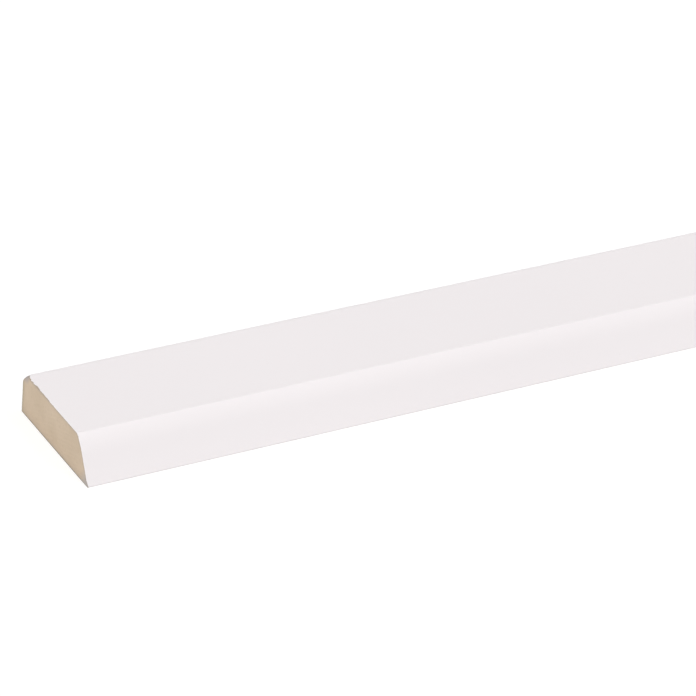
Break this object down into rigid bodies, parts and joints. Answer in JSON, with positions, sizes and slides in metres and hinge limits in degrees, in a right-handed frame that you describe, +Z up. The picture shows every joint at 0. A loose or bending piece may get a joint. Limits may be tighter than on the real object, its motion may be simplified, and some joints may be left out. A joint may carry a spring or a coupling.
{
  "type": "cover strip",
  "caption": "Straight white-finished MDF cover strip with a bevelled, rounded front edge and a square rear edge eased at the top, for hiding a joint or gap.",
  "frame": {"origin": "middle of the flat back face, halfway along the strip and across it", "axes": "+X along the strip, +Y towards the square rear edge with the bevelled front edge at -Y, +Z up through the thickness, out of the visible face"},
  "size_m": [2.4, 0.026, 0.008],
  "materials": {
    "white_finish": "MDF with a smooth satin white factory finish on its face, edges and bevel; the sawn ends and the back are bare, fine-fibred MDF, pale brown"
  },
  "bodies": {
    "root": {"cover_strip": "white_finish"}
  },
  "joints": []
}
